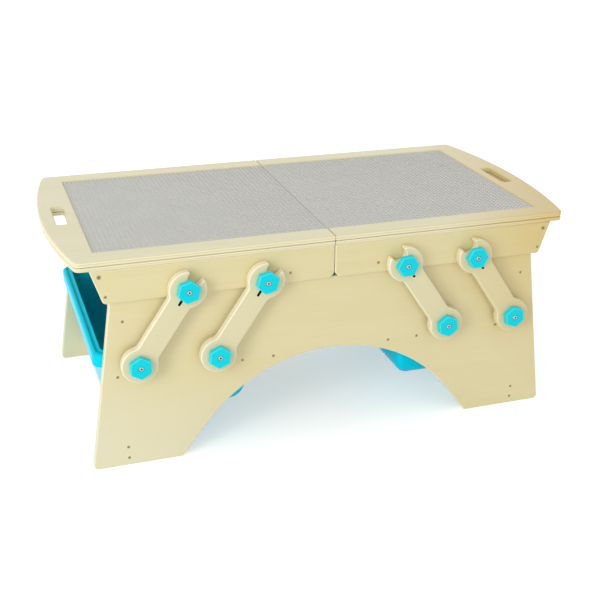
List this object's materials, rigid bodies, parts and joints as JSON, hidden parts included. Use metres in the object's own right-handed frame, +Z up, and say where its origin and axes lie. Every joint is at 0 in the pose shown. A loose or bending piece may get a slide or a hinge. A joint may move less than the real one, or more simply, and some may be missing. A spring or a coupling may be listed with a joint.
{
  "type": "play table",
  "caption": "Low wooden play table whose half trays with studded plates swing out level on wrench-shaped arms and uncover plastic storage tubs.",
  "frame": {"origin": "middle of the table's footprint, on the floor", "axes": "+X along the table to its right end, +Y from front to rear, +Z up"},
  "size_m": [0.891, 0.5106, 0.3699],
  "materials": {
    "board_wood": "birch plywood, clear satin lacquer",
    "arm_wood": "birch plywood with rounded edges, clear satin lacquer",
    "plate_plastic": "light grey moulded ABS",
    "tub_plastic": "turquoise moulded polypropylene",
    "knob_plastic": "bright turquoise moulded ABS"
  },
  "bodies": {
    "base": {"front_side_panel": "board_wood", "rear_side_panel": "board_wood", "left_upper_cross_rail": "board_wood", "right_upper_cross_rail": "board_wood", "left_lower_stretcher": "board_wood", "right_lower_stretcher": "board_wood", "left_front_tub_runner": "board_wood", "left_rear_tub_runner": "board_wood", "right_front_tub_runner": "board_wood", "right_rear_tub_runner": "board_wood", "left_front_outer_spacer": "arm_wood", "left_front_inner_spacer": "arm_wood", "left_rear_outer_spacer": "arm_wood", "left_rear_inner_spacer": "arm_wood", "right_front_outer_spacer": "arm_wood", "right_front_inner_spacer": "arm_wood", "right_rear_outer_spacer": "arm_wood", "right_rear_inner_spacer": "arm_wood", "left_front_outer_lower_knob": "knob_plastic", "left_front_inner_lower_knob": "knob_plastic", "left_rear_outer_lower_knob": "knob_plastic", "left_rear_inner_lower_knob": "knob_plastic", "right_front_outer_lower_knob": "knob_plastic", "right_front_inner_lower_knob": "knob_plastic", "right_rear_outer_lower_knob": "knob_plastic", "right_rear_inner_lower_knob": "knob_plastic"},
    "left_front_outer_link": {"left_front_outer_arm": "arm_wood"},
    "left_front_inner_link": {"left_front_inner_arm": "arm_wood"},
    "left_rear_outer_link": {"left_rear_outer_arm": "arm_wood"},
    "left_rear_inner_link": {"left_rear_inner_arm": "arm_wood"},
    "left_tray": {"left_top_frame": "board_wood", "left_deck_board": "board_wood", "left_studded_plate": "plate_plastic", "left_front_apron": "board_wood", "left_rear_apron": "board_wood", "left_end_board": "board_wood", "left_cross_rail": "board_wood", "left_front_outer_upper_knob": "knob_plastic", "left_front_inner_upper_knob": "knob_plastic", "left_rear_outer_upper_knob": "knob_plastic", "left_rear_inner_upper_knob": "knob_plastic"},
    "left_tub": {"left_storage_tub": "tub_plastic"},
    "right_front_outer_link": {"right_front_outer_arm": "arm_wood"},
    "right_front_inner_link": {"right_front_inner_arm": "arm_wood"},
    "right_rear_outer_link": {"right_rear_outer_arm": "arm_wood"},
    "right_rear_inner_link": {"right_rear_inner_arm": "arm_wood"},
    "right_tray": {"right_top_frame": "board_wood", "right_deck_board": "board_wood", "right_studded_plate": "plate_plastic", "right_front_apron": "board_wood", "right_rear_apron": "board_wood", "right_end_board": "board_wood", "right_cross_rail": "board_wood", "right_front_outer_upper_knob": "knob_plastic", "right_front_inner_upper_knob": "knob_plastic", "right_rear_outer_upper_knob": "knob_plastic", "right_rear_inner_upper_knob": "knob_plastic"},
    "right_tub": {"right_storage_tub": "tub_plastic"}
  },
  "joints": [
    {"name": "left_front_outer_swing", "type": "hinge", "parent": "base", "child": "left_front_outer_link", "pos_m": [-0.33018, -0.23725, 0.1901], "axis": [0, -1, 0], "range_deg": [0, 68]},
    {"name": "left_front_inner_swing", "type": "hinge", "parent": "base", "child": "left_front_inner_link", "pos_m": [-0.20208, -0.23725, 0.1901], "axis": [0, -1, 0], "range_deg": [0, 68]},
    {"name": "left_rear_outer_swing", "type": "hinge", "parent": "base", "child": "left_rear_outer_link", "pos_m": [-0.33018, 0.23725, 0.1901], "axis": [0, -1, 0], "range_deg": [0, 68]},
    {"name": "left_rear_inner_swing", "type": "hinge", "parent": "base", "child": "left_rear_inner_link", "pos_m": [-0.20208, 0.23725, 0.1901], "axis": [0, -1, 0], "range_deg": [0, 68]},
    {"name": "left_tray_level", "type": "hinge", "parent": "left_front_outer_link", "child": "left_tray", "pos_m": [-0.249, -0.23725, 0.31], "axis": [0, -1, 0], "range_deg": [-68, 0]},
    {"name": "left_tub_slide", "type": "slide", "parent": "base", "child": "left_tub", "axis": [-1, 0, 0], "range_m": [0, 0.2]},
    {"name": "right_front_outer_swing", "type": "hinge", "parent": "base", "child": "right_front_outer_link", "pos_m": [0.33018, -0.23725, 0.1901], "axis": [0, 1, 0], "range_deg": [0, 68]},
    {"name": "right_front_inner_swing", "type": "hinge", "parent": "base", "child": "right_front_inner_link", "pos_m": [0.20208, -0.23725, 0.1901], "axis": [0, 1, 0], "range_deg": [0, 68]},
    {"name": "right_rear_outer_swing", "type": "hinge", "parent": "base", "child": "right_rear_outer_link", "pos_m": [0.33018, 0.23725, 0.1901], "axis": [0, 1, 0], "range_deg": [0, 68]},
    {"name": "right_rear_inner_swing", "type": "hinge", "parent": "base", "child": "right_rear_inner_link", "pos_m": [0.20208, 0.23725, 0.1901], "axis": [0, 1, 0], "range_deg": [0, 68]},
    {"name": "right_tray_level", "type": "hinge", "parent": "right_front_outer_link", "child": "right_tray", "pos_m": [0.249, -0.23725, 0.31], "axis": [0, 1, 0], "range_deg": [-68, 0]},
    {"name": "right_tub_slide", "type": "slide", "parent": "base", "child": "right_tub", "axis": [1, 0, 0], "range_m": [0, 0.2]}
  ],
  "couplings": [
    {"joint": "left_front_inner_swing", "follows": "left_front_outer_swing", "ratio": 1},
    {"joint": "left_rear_outer_swing", "follows": "left_front_outer_swing", "ratio": 1},
    {"joint": "left_rear_inner_swing", "follows": "left_front_outer_swing", "ratio": 1},
    {"joint": "left_tray_level", "follows": "left_front_outer_swing", "ratio": -1},
    {"joint": "right_front_inner_swing", "follows": "right_front_outer_swing", "ratio": 1},
    {"joint": "right_rear_outer_swing", "follows": "right_front_outer_swing", "ratio": 1},
    {"joint": "right_rear_inner_swing", "follows": "right_front_outer_swing", "ratio": 1},
    {"joint": "right_tray_level", "follows": "right_front_outer_swing", "ratio": -1}
  ]
}
